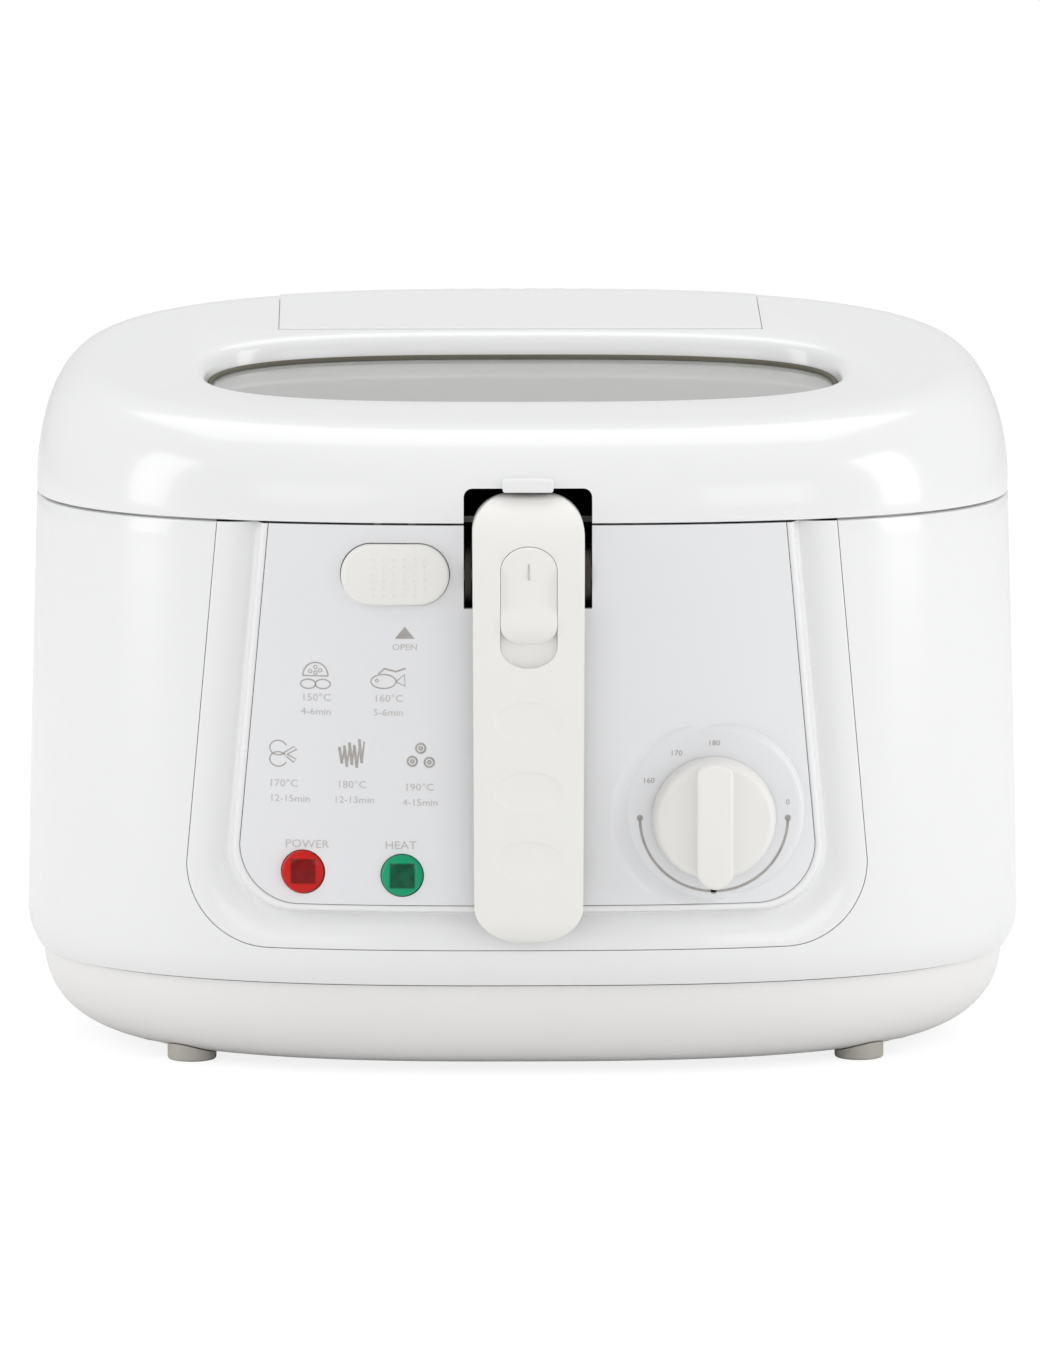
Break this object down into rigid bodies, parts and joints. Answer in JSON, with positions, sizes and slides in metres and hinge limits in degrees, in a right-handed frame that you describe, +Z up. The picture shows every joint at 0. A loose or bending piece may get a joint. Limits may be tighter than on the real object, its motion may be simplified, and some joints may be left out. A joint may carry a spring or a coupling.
{
  "type": "deep fryer",
  "caption": "White countertop deep fryer with a hinged lid, viewing window, fold-down basket handle, thermostat knob, indicator lamps and a lifting basket.",
  "frame": {"origin": "centre of the bounding box at the floor the feet stand on", "axes": "+X to the fryer's right as seen from the front, +Y to the back with the lid's hinge, +Z up; the handle and the controls face -Y"},
  "size_m": [0.35, 0.288, 0.2522],
  "materials": {
    "white_plastic": "gloss",
    "satin_plastic": "satin",
    "black_plastic": "satin",
    "steel": "satin",
    "pot_coating": "satin",
    "window_glass": "gloss",
    "seal_rubber": "matte",
    "ceramic": "matte",
    "filter_felt": "matte",
    "red_lens": "gloss",
    "green_lens": "gloss"
  },
  "bodies": {
    "root": {"outer_housing": "white_plastic", "front_bezel": "white_plastic", "front_panel": "white_plastic", "base_tray": "white_plastic", "upper_deck": "satin_plastic", "slot_liner": "black_plastic", "cord_gland": "black_plastic", "base_screw_1": "steel", "base_screw_2": "steel", "base_screw_3": "steel", "base_screw_4": "steel", "pivot_pin": "steel", "lever_pin": "steel", "heater_ring": "steel", "heat_shield": "steel", "thermostat_sensor": "steel", "latch_bracket": "steel", "latch_spring": "steel", "hinge_pin": "steel", "hinge_spring_left": "steel", "hinge_spring_right": "steel", "oil_pot": "pot_coating", "foot_1": "seal_rubber", "foot_2": "seal_rubber", "foot_3": "seal_rubber", "foot_4": "seal_rubber", "thermal_cutout": "ceramic", "thermostat_body": "ceramic", "terminal_block": "ceramic", "power_lamp": "ceramic", "heat_lamp": "ceramic", "power_lens": "red_lens", "heat_lens": "green_lens"},
    "lid": {"lid_shell": "white_plastic", "lid_window": "window_glass", "window_gasket": "seal_rubber", "lid_liner": "steel", "lid_gasket": "seal_rubber", "lid_catch": "steel", "grease_filter": "steel", "charcoal_filter": "filter_felt"},
    "cover": {"filter_cover": "white_plastic"},
    "handle": {"handle_grip": "satin_plastic", "handle_back": "satin_plastic", "handle_plate_left": "steel", "handle_plate_right": "steel", "drive_pin": "steel", "slider_spring": "steel"},
    "slider": {"handle_slider": "satin_plastic"},
    "levers": {"lift_lever_left": "steel", "lift_lever_right": "steel", "lift_pin": "steel"},
    "basket": {"basket_mesh": "steel", "basket_rim": "steel", "basket_yoke": "steel"},
    "button": {"open_button": "satin_plastic"},
    "latch": {"latch_lever": "black_plastic"},
    "knob": {"thermostat_knob": "satin_plastic", "thermostat_shaft": "steel"}
  },
  "joints": [
    {"name": "lid_hinge", "type": "hinge", "parent": "root", "child": "lid", "pos_m": [0, 0.138, 0.193], "axis": [-1, 0, 0], "range_deg": [0, 80]},
    {"name": "filter_cover_lift", "type": "slide", "parent": "lid", "child": "cover", "axis": [0, -0.134, 0.991], "range_m": [0, 0.03]},
    {"name": "handle_fold", "type": "hinge", "parent": "root", "child": "handle", "pos_m": [0, -0.115, 0.1743], "axis": [-1, 0, 0], "range_deg": [0, 90]},
    {"name": "slider_travel", "type": "slide", "parent": "handle", "child": "slider", "axis": [0, 0, -1], "range_m": [0, 0.007], "stiffness_N_per_m": 150, "springref_m": -0.004},
    {"name": "lever_swing", "type": "hinge", "parent": "root", "child": "levers", "pos_m": [0, -0.09829, 0.15438], "axis": [1, 0, 0], "range_deg": [0, 69.3]},
    {"name": "basket_lift", "type": "slide", "parent": "root", "child": "basket", "axis": [0, 0, 1], "range_m": [0, 0.04094]},
    {"name": "open_button_press", "type": "slide", "parent": "root", "child": "button", "axis": [0, 1, 0], "range_m": [0, 0.004], "stiffness_N_per_m": 300, "springref_m": -0.002},
    {"name": "latch_turn", "type": "hinge", "parent": "root", "child": "latch", "pos_m": [-0.0453, -0.1095, 0.158], "axis": [-1, 0, 0], "range_deg": [0, 15.81]},
    {"name": "knob_turn", "type": "hinge", "parent": "root", "child": "knob", "pos_m": [0.0636, -0.123, 0.091], "axis": [0, 1, 0], "range_deg": [0, 210]}
  ],
  "couplings": [
    {"joint": "lever_swing", "follows": "handle_fold", "ratio": 0.77},
    {"joint": "basket_lift", "follows": "handle_fold", "m_per_rad": 0.026061},
    {"joint": "latch_turn", "follows": "open_button_press", "rad_per_m": 69}
  ]
}
